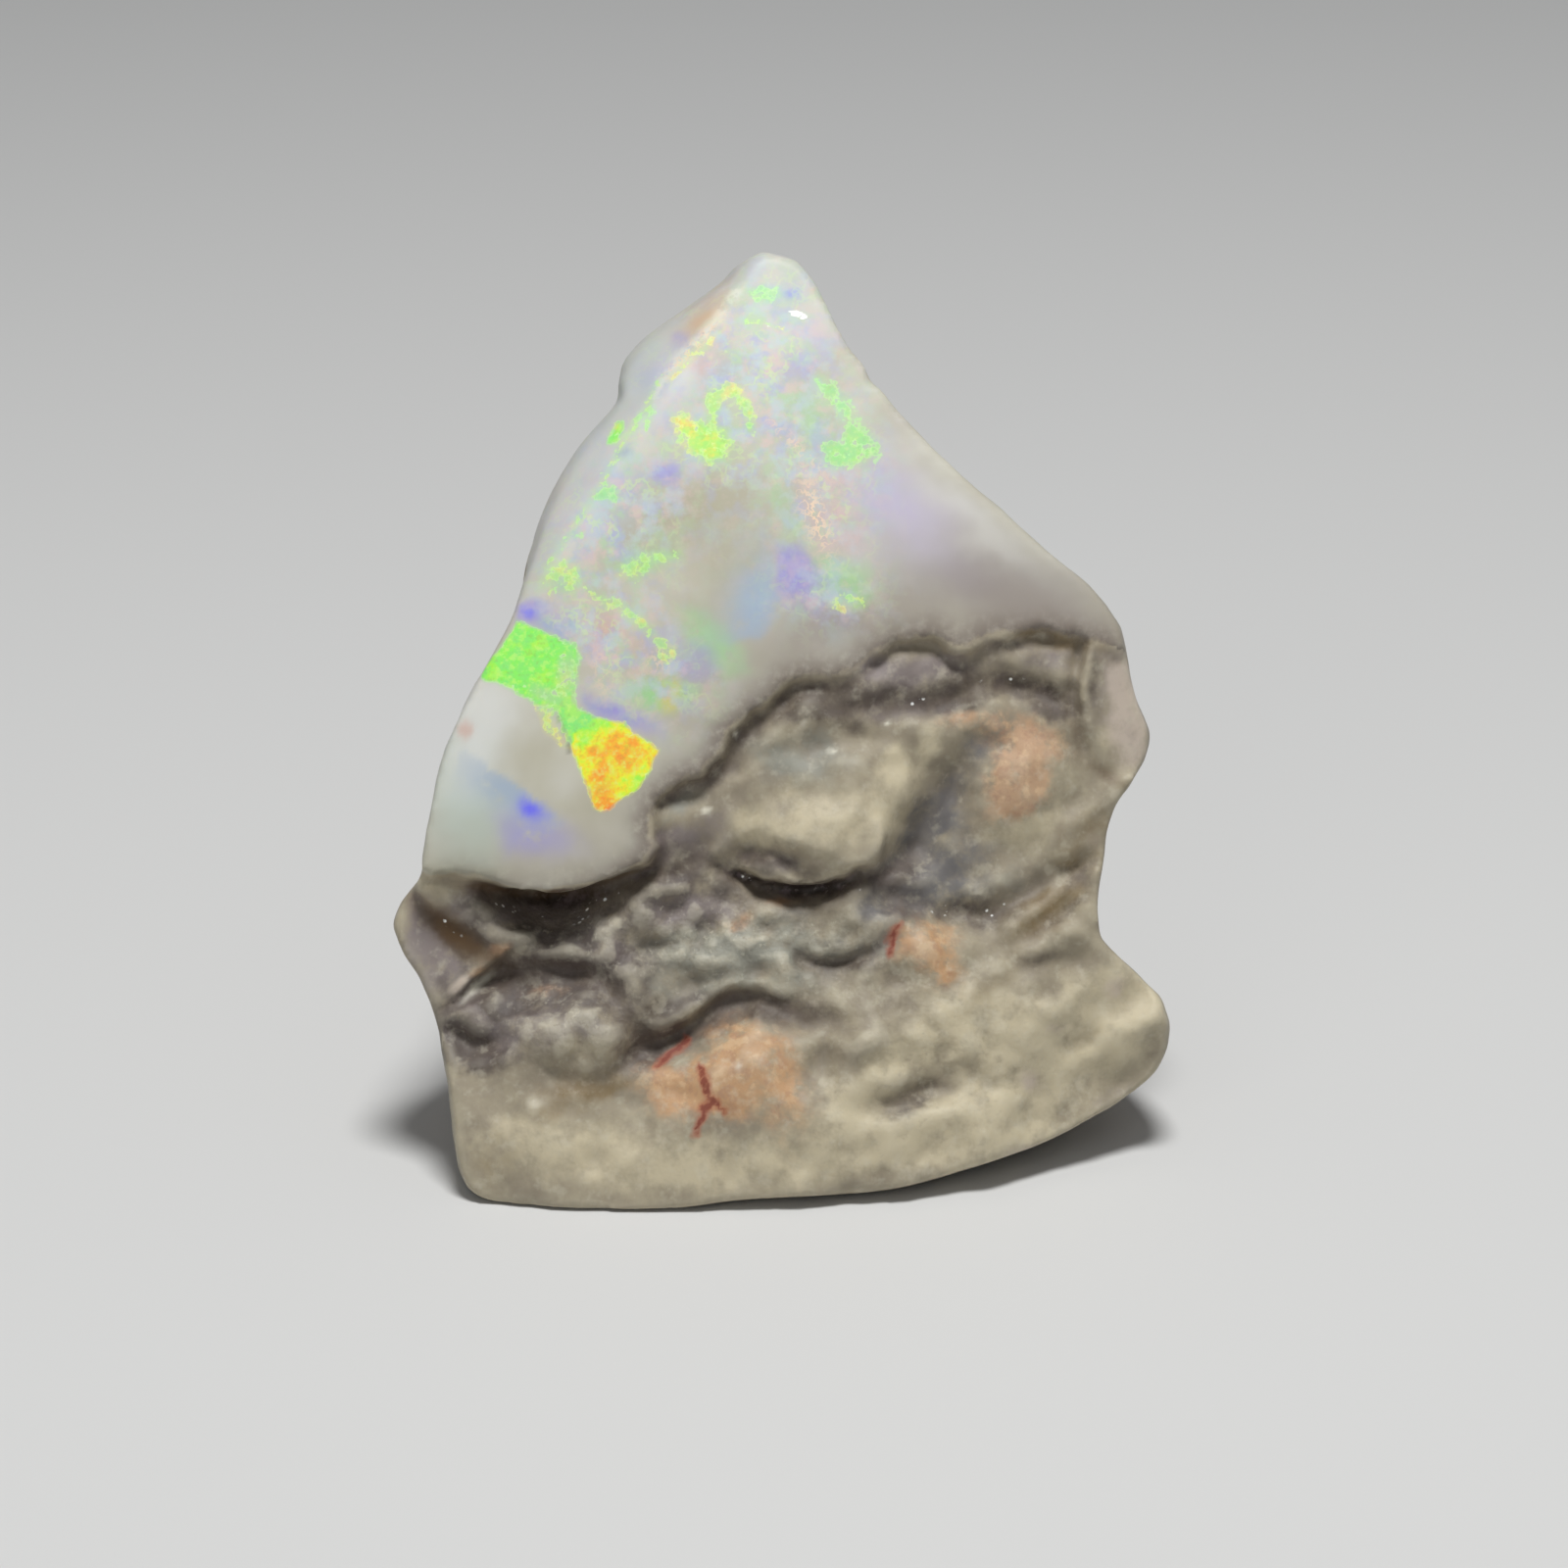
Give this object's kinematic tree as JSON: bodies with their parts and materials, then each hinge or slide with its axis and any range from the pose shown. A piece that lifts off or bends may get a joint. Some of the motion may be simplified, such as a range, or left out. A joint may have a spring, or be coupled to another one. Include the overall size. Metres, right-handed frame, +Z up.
{
  "type": "opal rub",
  "caption": "Chip of rough opal that stands on a flat foot, ground smooth with play of colour over its upper face, with stained and ledged natural rock below.",
  "frame": {"origin": "on the flat foot that the stone stands on, under its middle", "axes": "+Z up, -Y towards the ground face, +X to the right as seen facing the ground face"},
  "size_m": [0.022, 0.0161, 0.0235],
  "materials": {
    "opal": "milky opal, ground to a soft gloss on the upper face, satin and rough where it broke"
  },
  "bodies": {
    "root": {"opal_rub": "opal"}
  },
  "joints": []
}
